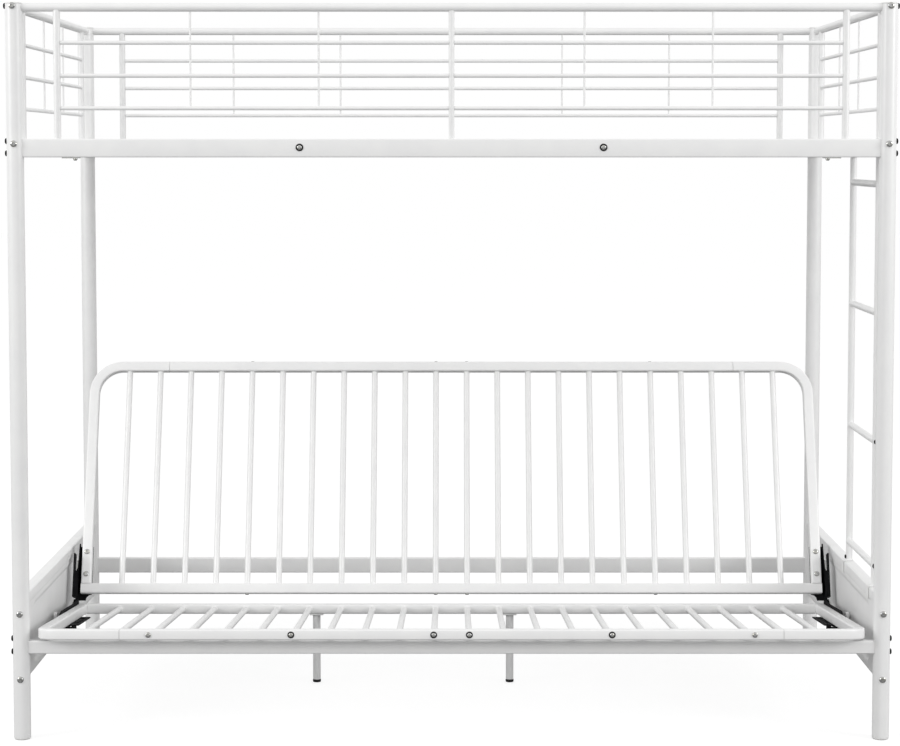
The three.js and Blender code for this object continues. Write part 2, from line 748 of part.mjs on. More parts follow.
function supportLeg(x) {
  const outer = legDiameter / 2;
  const inner = outer - legWall;
  const profile = [[inner, -legLength], [outer, -legLength], [outer, 0], [inner, 0]];
  const tube = hangingAt(turned(profile, plugSides), x);
  const rail = block(x - legDiameter, x + legDiameter, seatRearLocal - legDiameter,
    seatRearLocal + legDiameter, underZ - fitGap, planeZ + legDiameter);
  const saddle = block(x - saddleLength / 2, x + saddleLength / 2, seatRearLocal - tubeHalf,
    seatRearLocal + tubeHalf, underZ - fitGap - saddleThickness, underZ - fitGap);
  return joined([cut(tube, [rail]), saddle]);
}

function legFoot(x) {
  const radius = legDiameter / 2 + legFootWiden;
  const foot = tubeEnd(radius, legDiameter / 2 - legWall - fitGap, legFootThickness, legFootWiden);
  return hangingAt(foot.translate(0, 0, legFloorGap - legTopHeight), x);
}

legXs.forEach((x, i) => {
  const side = x < 0 ? 'left' : 'right';
  add(`support_leg_${side}`, supportLeg(legXs[i]), white, seat);
  add(`support_leg_foot_${side}`, legFoot(legXs[i]), blackPlastic, seat);
});

// Puts the middle of the bed's box over the origin: the seat's front rail reaches past the posts
const railReach = (tubeHalf - futonTubeCorner) * Math.cos(seatTilt)
  + (futonTubeHeight / 2 - futonTubeCorner) * Math.sin(seatTilt) + futonTubeCorner;
bed.position.y = (railReach + seatFrontAhead - postRadius) / 2;

const group = new THREE.Group();
group.add(bed);

export default group;
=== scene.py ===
# %% [markdown]
# A bunk bed over a folding futon, all in white powder-coated steel tube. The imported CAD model
# comes in first, as a fixed frame. It has the right sizes and it moves, but its tubes have
# few facets and its edges are sharp. It could be painted as it is. Instead, each cell below
# dresses one family of its solids with a finer shape and a finish, and the joints stay.
# %% Load the frame
import math
import bmesh
import bpy
from mathutils import Matrix, Vector


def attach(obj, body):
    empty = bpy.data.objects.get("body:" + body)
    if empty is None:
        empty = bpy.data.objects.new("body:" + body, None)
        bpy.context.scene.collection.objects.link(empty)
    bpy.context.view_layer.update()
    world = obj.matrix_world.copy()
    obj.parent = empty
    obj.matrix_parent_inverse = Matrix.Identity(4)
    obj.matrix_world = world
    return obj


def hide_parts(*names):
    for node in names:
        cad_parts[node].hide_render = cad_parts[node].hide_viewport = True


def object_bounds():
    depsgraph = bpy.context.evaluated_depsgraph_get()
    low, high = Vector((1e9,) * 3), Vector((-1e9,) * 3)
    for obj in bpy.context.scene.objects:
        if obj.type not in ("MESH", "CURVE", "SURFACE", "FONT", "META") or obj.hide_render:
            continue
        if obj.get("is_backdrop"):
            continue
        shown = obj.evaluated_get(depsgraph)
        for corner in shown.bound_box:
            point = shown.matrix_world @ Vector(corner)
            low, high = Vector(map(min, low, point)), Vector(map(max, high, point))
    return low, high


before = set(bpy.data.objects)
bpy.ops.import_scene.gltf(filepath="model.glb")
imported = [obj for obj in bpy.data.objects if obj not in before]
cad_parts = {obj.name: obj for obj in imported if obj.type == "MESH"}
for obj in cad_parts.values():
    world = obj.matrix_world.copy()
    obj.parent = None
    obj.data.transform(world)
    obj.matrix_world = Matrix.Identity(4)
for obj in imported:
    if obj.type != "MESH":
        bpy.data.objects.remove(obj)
cad_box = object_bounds()

# %% [markdown]
# The photograph was taken from straight in front, five metres away and 1.3 m above the
# floor. Its upright tubes are nearly parallel, so the camera was level and its view was
# shifted down, as a view camera does. So large a shift would push the upper bed out of
# the views from other sides. Here the camera is tilted a little instead, and a small shift
# does the rest. The price is that the posts lean inwards by a few pixels at the floor.
# %% Camera
MM = 0.001
FRONT_LINE = -489.61  # the front posts' centre line, in mm
CAMERA_X = -3.4  # mm from the bed's middle
CAMERA_DISTANCE = 5022.0  # mm before the front line
CAMERA_HEIGHT = 1326.0  # mm above the floor
CAMERA_DIP = 3.79  # degrees below level

lens = bpy.data.cameras.new("camera_lens")
lens.sensor_width = 36.0  # mm
lens.lens = 90.0  # mm
lens.shift_y = -0.08  # of the picture's width
camera = bpy.data.objects.new("camera", lens)
camera.location = (CAMERA_X * MM, (FRONT_LINE - CAMERA_DISTANCE) * MM, CAMERA_HEIGHT * MM)
camera.rotation_euler = (math.radians(90 - CAMERA_DIP), 0, 0)
bpy.context.scene.collection.objects.link(camera)
bpy.context.scene.camera = camera
print("camera at", [round(v, 3) for v in camera.location])

# %% [markdown]
# Shader maths reads best as plain expressions. This small class wraps one socket of a node
# graph, so that a sum or a product of sockets and numbers adds the Math node that it needs.
# The nodes could be added and linked one by one, but then a line of maths fills a page.
# %% A wrapped socket
class Wire:
    def __init__(self, graph, socket):
        self.graph = graph
        self.socket = socket

    def math(self, operation, other):
        return self.graph.node("ShaderNodeMath", {"operation": operation}, {0: self, 1: other})

    def __add__(self, other):
        return self.math("ADD", other)

    def __mul__(self, other):
        return self.math("MULTIPLY", other)

    __radd__ = __add__
    __rmul__ = __mul__


print("sockets can be added and multiplied")

# %% [markdown]
# Every other node comes from one method. It takes the node's type, its settings, and the
# values or wrapped sockets that go into it, and gives back one output, wrapped. The settings
# come first, because some of them change which sockets a node has. The finishes, the world
# and the Geometry Nodes trees all use it.
# %% A graph of nodes
class Graph:
    def __init__(self, tree):
        self.tree = tree

    def node(self, kind, settings=None, inputs=None, output=0):
        made = self.tree.nodes.new(kind)
        for name, value in (settings or {}).items():
            if name == "ramp":
                while len(made.color_ramp.elements) < len(value):
                    made.color_ramp.elements.new(0.5)
                for stop, (place, level) in zip(made.color_ramp.elements, value):
                    stop.position = place
                    stop.color = (level, level, level, 1)
            else:
                setattr(made, name, value)
        for key, value in (inputs or {}).items():
            self.feed(made.inputs[key], value)
        return Wire(self, made.outputs[output]) if made.outputs else made

    def feed(self, socket, value):
        for part in value if isinstance(value, list) else [value]:
            if isinstance(part, Wire):
                self.tree.links.new(part.socket, socket)
            else:
                socket.default_value = part


def fresh_graph(owner):
    """The emptied node graph of a material or a world."""
    owner.use_nodes = True
    owner.node_tree.nodes.clear()
    return Graph(owner.node_tree)


print("graphs ready")

# %% [markdown]
# Powder coat is paint that was melted on in an oven. It is smooth and half glossy, with a
# faint orange peel a millimetre or two across, and a touch greyer here and there. A picture
# of it could be wrapped round each tube, but it would need unfolding and would repeat. Two
# noises in the piece's own space do as well at any size: a wide one moves the colour between
# two tones, and a fine one raises the grain. Both vary the gloss.
# %% A coat of paint, plastic or plating
GRAIN_HEIGHT = 0.0002  # m


def coat(name, colour, tint, cloud_mm, peel_mm, peel, rough, metal=0.0, shine=0.5):
    """The clouds and the peel are given by their size, and rough is the range of roughness."""
    material = bpy.data.materials.new(name)
    g = fresh_graph(material)
    place = g.node("ShaderNodeTexCoord", output="Object")
    cloud = g.node("ShaderNodeTexNoise", None, {
        "Vector": place, "Scale": 1000 / cloud_mm, "Detail": 3.0})
    grain = g.node("ShaderNodeTexNoise", None, {
        "Vector": place, "Scale": 1000 / peel_mm, "Detail": 2.0})
    blend = g.node("ShaderNodeValToRGB", {"ramp": [(0.35, 0.0), (0.7, 1.0)]}, {"Fac": cloud})
    tone = g.node("ShaderNodeMix", {"data_type": "RGBA"},
                  {0: blend, 6: (*colour, 1), 7: (*tint, 1)}, output=2)
    smooth, dull = rough
    roughness = smooth + (dull - smooth) * (0.7 * cloud + 0.3 * grain)
    bump = g.node("ShaderNodeBump", None, {
        "Strength": peel, "Distance": GRAIN_HEIGHT, "Height": grain})
    shader = g.node("ShaderNodeBsdfPrincipled", None, {
        "Base Color": tone, "Roughness": roughness, "Normal": bump, "Metallic": metal,
        "Specular IOR Level": shine})
    g.node("ShaderNodeOutputMaterial", None, {"Surface": shader})
    material.diffuse_color = (*colour, 1)
    return material


print("coat ready")

# %% [markdown]
# The bed has five finishes. White paint covers nearly all of it, and its end caps are a
# duller white plastic. The arms of the mechanism are painted black, the feet and washers are
# black plastic, and the bolts are zinc-plated, bright with a cloudy, faintly yellow tone.
# Some small zinc heads take the black paint instead. On them it is painted shade, where they sit
# in shade.
# Each could have a shader of its own. One helper with a few numbers keeps them akin.
# %% The five finishes
FINISH = {
    "white_paint": coat("white_powder_coat", (0.83, 0.83, 0.825), (0.80, 0.80, 0.80),
                        cloud_mm=60, peel_mm=1.6, peel=0.18, rough=(0.24, 0.40)),
    "white_plastic": coat("white_cap_plastic", (0.80, 0.80, 0.79), (0.77, 0.77, 0.76),
                          cloud_mm=25, peel_mm=0.7, peel=0.25, rough=(0.40, 0.55)),
    # this black is real paint on the arms, and painted shade on the small zinc heads at the posts'
    # sides and on the ladder
    "black_paint": coat("black_steel_paint_and_shade", (0.007, 0.007, 0.008), (0.012, 0.012, 0.013),
                        cloud_mm=20, peel_mm=1.0, peel=0.3, rough=(0.5, 0.65), shine=0.03),
    "black_plastic": coat("black_foot_plastic", (0.008, 0.008, 0.009), (0.014, 0.014, 0.014),
                          cloud_mm=12, peel_mm=0.6, peel=0.4, rough=(0.5, 0.7), shine=0.3),
    "zinc_plate": coat("zinc_plated_steel", (0.50, 0.51, 0.52), (0.56, 0.55, 0.50),
                       cloud_mm=6, peel_mm=0.9, peel=0.2, rough=(0.16, 0.34), metal=1.0),
}
print("finishes:", sorted(FINISH))

# %% [markdown]
# Every piece is made in millimetres and finished by one function. It is scaled to metres,
# shaded smooth except at real edges, given its finish, and tied to the CAD body that it
# moves with. It also hides the CAD solids that it stands for. Each cell could do this for
# itself, but one function forgets nothing.
# %% Finishing a piece
def finished(name, mesh, body, slot, nodes=(), edge=35):
    """Makes an object of a mesh in mm. Only edges of more than edge degrees stay sharp."""
    mesh.transform(Matrix.Scale(MM, 4))
    mesh.polygons.foreach_set("use_smooth", [True] * len(mesh.polygons))
    mesh.set_sharp_from_angle(angle=math.radians(edge))
    mesh.materials.clear()
    mesh.materials.append(FINISH[slot])
    piece = bpy.data.objects.new(name, mesh)
    bpy.context.scene.collection.objects.link(piece)
    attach(piece, body)
    if nodes:
        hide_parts(*nodes)
    print(f"{name}: {len(mesh.polygons)} faces on {body}")


print("finished() ready")

# %% [markdown]
# Shapes are built point by point with bmesh, Blender's own mesh editor for scripts. Points
# that fall together are merged, and all faces are turned outwards. A welded frame is one
# piece in the shop, so its tubes are put into one mesh.
# %% From points to meshes
SAME_POINT = 0.001  # mm


def mesh_from(bm):
    mesh = bpy.data.meshes.new("piece")
    bm.to_mesh(mesh)
    bm.free()
    return mesh


def closed_mesh(bm):
    bmesh.ops.remove_doubles(bm, verts=bm.verts, dist=SAME_POINT)
    bmesh.ops.recalc_face_normals(bm, faces=bm.faces)
    return mesh_from(bm)


def merged(meshes):
    bm = bmesh.new()
    for mesh in meshes:
        bm.from_mesh(mesh)
    return mesh_from(bm)


def moved(mesh, matrix):
    mesh.transform(matrix)
    return mesh


print("mesh helpers ready")

# %% [markdown]
# Nearly all of the bed is tube, and a tube is a section drawn along a path. It could be a
# curve object with a bevel, but a box section has to stay square to its bend. Here each ring
# of points stands upright by rule. At a corner of the path the ring is widened, so that the
# wall keeps its thickness, as in a mitre.
# %% Sections and sweeps
UP, BACKWARDS = Vector((0, 0, 1)), Vector((0, 1, 0))
NEARLY_UPRIGHT = 0.9  # a steeper path takes its bearing from the bed's rear, not from above
NARROWEST = 0.3  # stops a very sharp mitre from growing without end
CORNER_STEPS = 5


def ring(diameter, sides=28):
    angles = [2 * math.pi * i / sides for i in range(sides)]
    return [(diameter / 2 * math.cos(a), diameter / 2 * math.sin(a)) for a in angles]


def rounded(width, height, radius):
    section = []
    for quarter, (sx, sy) in enumerate([(1, 1), (-1, 1), (-1, -1), (1, -1)]):
        for i in range(CORNER_STEPS + 1):
            a = math.pi / 2 * (quarter + i / CORNER_STEPS)
            section.append((sx * (width / 2 - radius) + radius * math.cos(a),
                            sy * (height / 2 - radius) + radius * math.sin(a)))
    return section


def swept(points, section):
    """The section's first number lies across the path, and its second one upwards."""
    points = [Vector(p) for p in points]
    ways = [(b - a).normalized() for a, b in zip(points, points[1:])]
    bm = bmesh.new()
    rings = []
    for i, point in enumerate(points):
        before, after = ways[max(i - 1, 0)], ways[min(i, len(ways) - 1)]
        way = (before + after).normalized()
        lift = UP if abs(way.dot(UP)) < NEARLY_UPRIGHT else BACKWARDS
        across = way.cross(lift).normalized()
        stand = across.cross(way).normalized()
        wide = 1 / max(before.dot(way), NARROWEST)
        rings.append([bm.verts.new(point + across * (x * wide) + stand * y) for x, y in section])
    count = len(section)
    for a, b in zip(rings, rings[1:]):
        for j in range(count):
            n = (j + 1) % count
            bm.faces.new((a[j], a[n], b[n], b[j]))
    bm.faces.new(rings[0])
    bm.faces.new(reversed(rings[-1]))
    return closed_mesh(bm)


print("a round ring has", len(ring(1)), "points")

# %% [markdown]
# Caps, feet and washers are turned or moulded round. Each is half an outline, spun about the
# upright axis. Blender's Spin could do it, but a ring of points for each height leaves no
# seam, and an outline that starts and ends on the axis gives a closed solid.
# %% Turned parts
ON_AXIS = 1e-6


def lathed(profile, sides=32):
    """A turned solid about +Z, from (radius, height) pairs that start and end on the axis."""
    bm = bmesh.new()
    rings = []
    for radius, height in profile:
        if radius < ON_AXIS:
            rings.append([bm.verts.new((0, 0, height))])
        else:
            rings.append([bm.verts.new((x, y, height)) for x, y in ring(2 * radius, sides)])
    for a, b in zip(rings, rings[1:]):
        for j in range(sides):
            corner = [a[j % len(a)], a[(j + 1) % len(a)], b[(j + 1) % len(b)], b[j % len(b)]]
            corner = list(dict.fromkeys(corner))
            if len(corner) > 2:
                bm.faces.new(corner)
    return closed_mesh(bm)


print("turned parts ready")

# %% [markdown]
# The posts are one straight round tube each, 38 mm thick, with a low domed cap on top and a
# plastic glide below. A plain cylinder with flat ends would do from afar. The caps and
# glides are turned apart, with a small gap to the tube, because that fine dark line is what
# shows that the tube is plugged.
# %% Posts, caps and glides
POST_X = 971.5
POST_YS = (FRONT_LINE, FRONT_LINE + 1003.0)
HEIGHT = 1657.0
POST_TUBE, POST_SIDES = 38, 48
TUBE_START, TUBE_END = 5.3, HEIGHT - 3.3
CAP = [(0, -3), (18.6, -3), (19, -2.6), (19, -1.6), (18.2, -0.6), (16.4, 0), (0, 0)]
GLIDE = [(0, 0), (16, 0), (17.8, 0.8), (19, 2.4), (19, 4.7), (18.6, 5), (0, 5)]
CORNERS = [(f"{depth}_{side}", x, y) for depth, y in zip(("front", "rear"), POST_YS)
           for side, x in (("left", -POST_X), ("right", POST_X))]
for corner, x, y in CORNERS:
    tube = swept([(x, y, TUBE_START), (x, y, TUBE_END)], ring(POST_TUBE, POST_SIDES))
    finished(f"post_tube_{corner}", tube, "frame", "white_paint", [f"post_{corner}"])
    cap = moved(lathed(CAP, POST_SIDES), Matrix.Translation((x, y, HEIGHT)))
    finished(f"post_end_{corner}", cap, "frame", "white_plastic", [f"post_cap_{corner}"])
    glide = moved(lathed(GLIDE, POST_SIDES), Matrix.Translation((x, y, 0)))
    finished(f"post_foot_{corner}", glide, "frame", "white_plastic", [f"post_glide_{corner}"])

# %% [markdown]
# What repeats is made by Geometry Nodes: the slats and bars, and later the bolts. A tree
# could be drawn by hand in the editor. Here a script builds it, with named inputs for its
# sizes. Each tree ends alike: its copies are made real, because the export drops instances,
# and then they get their finish.
# %% The start and the end of a tree
def new_tree(name, inputs):
    """Gives an empty graph, its wrapped inputs, and the identifier of each input."""
    tree = bpy.data.node_groups.new(name, "GeometryNodeTree")
    identifiers = {}
    for label, kind in inputs.items():
        identifiers[label] = tree.interface.new_socket(
            name=label, in_out="INPUT", socket_type=f"NodeSocket{kind}").identifier
    tree.interface.new_socket(name="Geometry", in_out="OUTPUT", socket_type="NodeSocketGeometry")
    g = Graph(tree)
    entry = tree.nodes.new("NodeGroupInput")
    return g, {label: Wire(g, entry.outputs[label]) for label in inputs}, identifiers


def end_tree(g, copies, finish):
    real = g.node("GeometryNodeRealizeInstances", None, {"Geometry": copies})
    painted = g.node("GeometryNodeSetMaterial", None, {"Geometry": real, "Material": finish})
    g.node("NodeGroupOutput", None, {0: painted})


print("tree helpers ready")

# %% [markdown]
# Guards, deck, ladder and futon all have round bars welded between two others. One bar is
# drawn along its own line, and copied to the points of a row. A weld leaves a small raised
# ring where a bar meets its rail, so each end gets a thin hoop. Without the hoops the bars
# look pushed into the rails.
# %% A tree for a row of bars
ROUND_SIDES, BEAD_SIDES = 24, 8


def bar_row_tree():
    g, given, identifiers = new_tree("row_of_bars", {
        "Count": "Int", "Pitch": "Float", "Length": "Float", "Radius": "Float",
        "Bead": "Float", "Finish": "Material"})
    far_end = g.node("ShaderNodeCombineXYZ", None, {"Y": given["Length"]})
    line = g.node("GeometryNodeCurvePrimitiveLine", None, {"Start": (0, 0, 0), "End": far_end})
    outline = g.node("GeometryNodeCurvePrimitiveCircle", None, {
        "Resolution": ROUND_SIDES, "Radius": given["Radius"]})
    plain = g.node("GeometryNodeCurveToMesh", None, {0: line, 1: outline, "Fill Caps": True})
    hoop = g.node("GeometryNodeTransform", None, {
        "Geometry": outline, "Rotation": (math.pi / 2, 0, 0)})
    bead_outline = g.node("GeometryNodeCurvePrimitiveCircle", None, {
        "Resolution": BEAD_SIDES, "Radius": given["Bead"]})
    bead = g.node("GeometryNodeCurveToMesh", None, {0: hoop, 1: bead_outline})
    far_bead = g.node("GeometryNodeTransform", None, {"Geometry": bead, "Translation": far_end})
    welded = g.node("GeometryNodeJoinGeometry", None, {0: [plain, bead, far_bead]})
    step = g.node("ShaderNodeCombineXYZ", None, {"X": given["Pitch"]})
    row = g.node("GeometryNodeMeshLine", None, {"Count": given["Count"], "Offset": step})
    copies = g.node("GeometryNodeInstanceOnPoints", None, {"Points": row, "Instance": welded})
    end_tree(g, copies, given["Finish"])
    return g.tree, identifiers


BAR_TREE, BAR_INPUTS = bar_row_tree()
print("row of bars:", len(BAR_TREE.nodes), "nodes")

# %% [markdown]
# A tree works as a modifier. To get plain bars out of it, it is put on an empty mesh, its
# inputs are set by their identifiers, and the result is copied into a new mesh. The bars
# then lie along +Y from the origin, and a matrix takes them to their place on the bed.
# %% Bars in their places
def grown(tree, identifiers, values, seed_mesh=None):
    """Runs a tree on an empty or given mesh and returns the result as a plain mesh."""
    host = bpy.data.objects.new("grower", seed_mesh or bpy.data.meshes.new("seed"))
    bpy.context.scene.collection.objects.link(host)
    modifier = host.modifiers.new("grow", "NODES")
    modifier.node_group = tree
    for label, value in values.items():
        modifier[identifiers[label]] = value
    host.update_tag()
    graph = bpy.context.evaluated_depsgraph_get()
    mesh = bpy.data.meshes.new_from_object(host.evaluated_get(graph))
    bpy.data.objects.remove(host)
    return mesh


def bar_row(count, pitch, length, diameter, bead):
    """Bars that run along +Y, set side by side along +X, from the origin."""
    return grown(BAR_TREE, BAR_INPUTS, {
        "Count": count, "Pitch": pitch, "Length": length, "Radius": diameter / 2,
        "Bead": bead, "Finish": FINISH["white_paint"]})


def turned_to(origin, across, along):
    """The matrix that takes +X to across and +Y to along, at an origin."""
    x, y = Vector(across), Vector(along)
    matrix = Matrix((x, y, x.cross(y))).transposed().to_4x4()
    matrix.translation = Vector(origin)
    return matrix


def bar(start, across, along, length, diameter, bead):
    return moved(bar_row(1, 0, length, diameter, bead), turned_to(start, across, along))


def upright(x, y, foot, top, diameter, bead=0.9):
    return bar((x, y, foot), (1, 0, 0), (0, 0, 1), top - foot, diameter, bead)


print("bars ready")

# %% [markdown]
# The guards make the upper bed safe to sleep in. Each has a round top rail, three uprights
# on the side rail, three long bars between the uprights, and thin rods from the top rail
# down to the lowest bar. The long bars could run through in one piece, but the real ones
# stop at the middle upright, and so do these.
# %% Guards
RAIL_TOP = 1355.0  # of the rails that carry the guards
TOP_RAIL, TOP_TUBE, TOP_REACH = 1646.0, 19, 957
BAR_HEIGHTS = (1568.0, 1495.0, 1423.0)
END_BAR, MIDDLE_BAR, LONG_BAR, ROD = 16, 13, 9, 5  # diameters
LONG_BEAD, ROD_BEAD = 0.7, 0.5
GUARD_END = 876.5
ROD_XS = (-580.3, -295.2, 295.2, 580.3)


def guard(y):
    parts = [swept([(-TOP_REACH, y, TOP_RAIL), (TOP_REACH, y, TOP_RAIL)], ring(TOP_TUBE))]
    for x, diameter in ((-GUARD_END, END_BAR), (GUARD_END, END_BAR), (0, MIDDLE_BAR)):
        parts.append(upright(x, y, RAIL_TOP, TOP_RAIL, diameter))
    length = GUARD_END - (MIDDLE_BAR + END_BAR) / 2
    for z in BAR_HEIGHTS:
        for side in (-1, 1):
            start = (side * MIDDLE_BAR / 2, y, z)
            parts.append(bar(start, (0, 1, 0), (side, 0, 0), length, LONG_BAR, LONG_BEAD))
    for x in ROD_XS:
        parts.append(upright(x, y, BAR_HEIGHTS[-1], TOP_RAIL, ROD, ROD_BEAD))
    return merged(parts)


RAIL_BOX, RAIL_Z, RAIL_REACH = rounded(20, 41, 3), 1334.5, 956
for place, y in zip(("front", "rear"), POST_YS):
    finished(f"guard_{place}", guard(y), "frame", "white_paint",
             [f"guard_top_rail_{place}", f"guard_grille_{place}"])
    rail = swept([(-RAIL_REACH, y, RAIL_Z), (RAIL_REACH, y, RAIL_Z)], RAIL_BOX)
    finished(f"side_tube_{place}", rail, "frame", "white_paint", [f"side_rail_{place}"])

# %% [markdown]
# Two box tubes tie the posts together near the floor. The front one is the slimmer, because
# the futon's seat lies over it. A sharp-edged box would do for the size. But box tube has
# rounded corners from the rolls that form it, and these catch a line of light along the
# whole bed, so the section has them too.
# %% Lower beams
BEAMS = (("front", POST_YS[0], 210.5, 29), ("rear", POST_YS[1], 212, 40))
for place, y, centre, height in BEAMS:
    beam = swept([(-RAIL_REACH, y, centre), (RAIL_REACH, y, centre)], rounded(20, height, 3))
    finished(f"beam_{place}", beam, "frame", "white_paint", [f"lower_beam_{place}"])

# %% [markdown]
# The end frames repeat the guard's pattern across the bed, on a box tube, with a narrow
# ledge inside that carries the ends of the deck. The ledge is flat bar, so it is a block. A
# cube could serve, but sheet and bar have slightly broken edges, so the block's are rounded.
# %% End frames
MIDDLE = (POST_YS[0] + POST_YS[1]) / 2
END_UPRIGHT, END_ROD = 406.5, 131.5  # from the middle
TUBE_IN_POST, LEDGE_IN_POST = 15, 11
LEDGE_OUTSIDE, LEDGE_INSIDE = POST_X - 9.5, POST_X - 36.5
LEDGE_BOTTOM, LEDGE_TOP = 1338, 1341


def block(one_corner, other_corner, round_by):
    low = Vector([min(pair) for pair in zip(one_corner, other_corner)])
    size = Vector([max(pair) for pair in zip(one_corner, other_corner)]) - low
    bm = bmesh.new()
    bmesh.ops.create_cube(bm, size=1)
    for v in bm.verts:
        v.co = low + Vector([size[i] * (v.co[i] + 0.5) for i in range(3)])
    bmesh.ops.bevel(bm, geom=bm.edges, offset=round_by, segments=2, affect="EDGES")
    return closed_mesh(bm)


def end_frame(sign):
    x = sign * POST_X
    y0, y1 = POST_YS[0] + TUBE_IN_POST, POST_YS[1] - TUBE_IN_POST
    parts = [swept([(x, y0, TOP_RAIL), (x, y1, TOP_RAIL)], ring(TOP_TUBE)),
             swept([(x, y0, RAIL_Z), (x, y1, RAIL_Z)], RAIL_BOX)]
    for side in (-1, 1):
        parts.append(upright(x, MIDDLE + side * END_UPRIGHT, RAIL_TOP, TOP_RAIL, END_BAR))
    for side in (-1, 1):
        parts.append(upright(x, MIDDLE + side * END_ROD, BAR_HEIGHTS[-1], TOP_RAIL, ROD, ROD_BEAD))
    for z in BAR_HEIGHTS:
        start = (x, MIDDLE - END_UPRIGHT + END_BAR / 2, z)
        length = 2 * END_UPRIGHT - END_BAR
        parts.append(bar(start, (1, 0, 0), (0, 1, 0), length, LONG_BAR, LONG_BEAD))
    parts.append(block((sign * LEDGE_INSIDE, POST_YS[0] + LEDGE_IN_POST, LEDGE_BOTTOM),
                       (sign * LEDGE_OUTSIDE, POST_YS[1] - LEDGE_IN_POST, LEDGE_TOP), 0.8))
    return merged(parts)


for side, sign in (("left", -1), ("right", 1)):
    finished(f"end_rails_{side}", end_frame(sign), "frame", "white_paint", [f"end_frame_{side}"])

# %% [markdown]
# The deck carries the upper mattress. It is ten long tubes in two panels, welded on flat
# ties, and lies on the ledges and on two cross bars. The tubes are one row from the tree, so
# that their number and pitch are inputs, and the ties are blocks.
# %% Deck
DECK_TUBES, DECK_PITCH, DECK_TUBE, DECK_BEAD = 5, 95.0, 12, 0.3
DECK_WIDTH = (DECK_TUBES - 1) * DECK_PITCH
DECK_GAP = 46.0  # from the middle to the first tube
DECK_HALF = 960.9
TUBES_Z, TIE_BOTTOM, TIE_TOP = 1347.3, 1338.5, 1341.8
TIE_XS, TIE_HALF, TIE_OVERHANG = (-900, -640, 0, 640, 900), 12.5, 12


def deck_panel(side):
    first = MIDDLE + (DECK_GAP if side > 0 else -DECK_GAP - DECK_WIDTH)
    tubes = bar_row(DECK_TUBES, DECK_PITCH, 2 * DECK_HALF, DECK_TUBE, DECK_BEAD)
    parts = [moved(tubes, turned_to((DECK_HALF, first, TUBES_Z), (0, 1, 0), (-1, 0, 0)))]
    y0, y1 = first - TIE_OVERHANG, first + DECK_WIDTH + TIE_OVERHANG
    for x in TIE_XS:
        parts.append(block((x - TIE_HALF, y0, TIE_BOTTOM), (x + TIE_HALF, y1, TIE_TOP), 0.8))
    return merged(parts)


for place, side in (("front", -1), ("rear", 1)):
    finished(f"deck_{place}", deck_panel(side), "frame", "white_paint", [f"deck_panel_{place}"])

CROSS_BAR_X, CROSS_BAR_Z = 338, 1331
cross_y0, cross_y1 = POST_YS[0] + 10.3, POST_YS[1] - 10.3  # just short of the side rails
for side, x in (("left", -CROSS_BAR_X), ("right", CROSS_BAR_X)):
    path = [(x, cross_y0, CROSS_BAR_Z), (x, cross_y1, CROSS_BAR_Z)]
    finished(f"cross_bar_{side}", swept(path, rounded(20, 20, 2.5)), "frame", "white_paint",
             [f"deck_cross_bar_{side}"])

# %% [markdown]
# Each lower end is closed by a pressed steel panel: a plain border, and a field that the
# press pushed outwards with soft shoulders. A bevelled block would have one straight
# shoulder. Here the sheet is a grid of points, and each point moves outwards by a smooth
# step of its distance from the field's rounded outline, as metal does in a press.
# %% The pressed sheet
PANEL_TOP, RIM_BOTTOM, PANEL_BOTTOM = 330.0, 305.0, 136.0
SHEET_X, SHEET_THICKNESS = 962.0, 3.0
SHEET_ROWS, SHEET_COLUMNS = 44, 170
FIELD_HALF_Y, FIELD_HALF_Z, FIELD_CORNER = 411.5, 66.5, 38.0
PRESS_DEPTH, SHOULDER = 4.0, 9.0
PANEL_YS = (POST_YS[0] + 14, POST_YS[1] - 14)
SHEET_HEIGHT = RIM_BOTTOM + 1 - PANEL_BOTTOM  # it reaches 1 mm up into the rim


def press_depth(y, z):
    a = abs(y - MIDDLE) - (FIELD_HALF_Y - FIELD_CORNER)
    b = abs(z - (PANEL_BOTTOM + RIM_BOTTOM) / 2) - (FIELD_HALF_Z - FIELD_CORNER)
    outside = math.hypot(max(a, 0), max(b, 0)) + min(max(a, b), 0) - FIELD_CORNER
    share = min(max(0.5 - outside / SHOULDER, 0), 1)
    return PRESS_DEPTH * share * share * (3 - 2 * share)


def sheet_face(bm, side, offset):
    """A grid of points on one face of the sheet."""
    y0, y1 = PANEL_YS
    grid = []
    for i in range(SHEET_ROWS + 1):
        z = PANEL_BOTTOM + SHEET_HEIGHT * i / SHEET_ROWS
        ys = [y0 + (y1 - y0) * j / SHEET_COLUMNS for j in range(SHEET_COLUMNS + 1)]
        grid.append([bm.verts.new((side * (SHEET_X + offset + press_depth(y, z)), y, z))
                     for y in ys])
    return grid


def border(grid):
    """The points round a grid, in order."""
    right, left = [row[-1] for row in grid[1:]], [row[0] for row in grid[-2:0:-1]]
    return grid[0] + right + grid[-1][-2::-1] + left


def pressed_sheet(side):
    bm = bmesh.new()
    grids = [sheet_face(bm, side, offset) for offset in (0.0, SHEET_THICKNESS)]
    for grid in grids:
        for a, b in zip(grid, grid[1:]):
            for j in range(SHEET_COLUMNS):
                bm.faces.new((a[j], a[j + 1], b[j + 1], b[j]))
    inner, outer = (border(grid) for grid in grids)
    for k in range(len(inner)):
        n = (k + 1) % len(inner)
        bm.faces.new((inner[k], inner[n], outer[n], outer[k]))
    return closed_mesh(bm)


print("the sheet is pressed out by", press_depth(MIDDLE, (PANEL_BOTTOM + RIM_BOTTOM) / 2), "mm")

# %% [markdown]
# The panel's top is rolled into a box rim, and its lower edge is folded outwards into a short
# foot. Both stiffen the sheet. They could be part of the grid, but a rim swept along the
# panel and a flat block below need far fewer faces, and the joint lies hidden in the rim.
# %% End panels
RIM_X, RIM_WIDTH, FOOT_WIDTH = 958.0, 27, 20


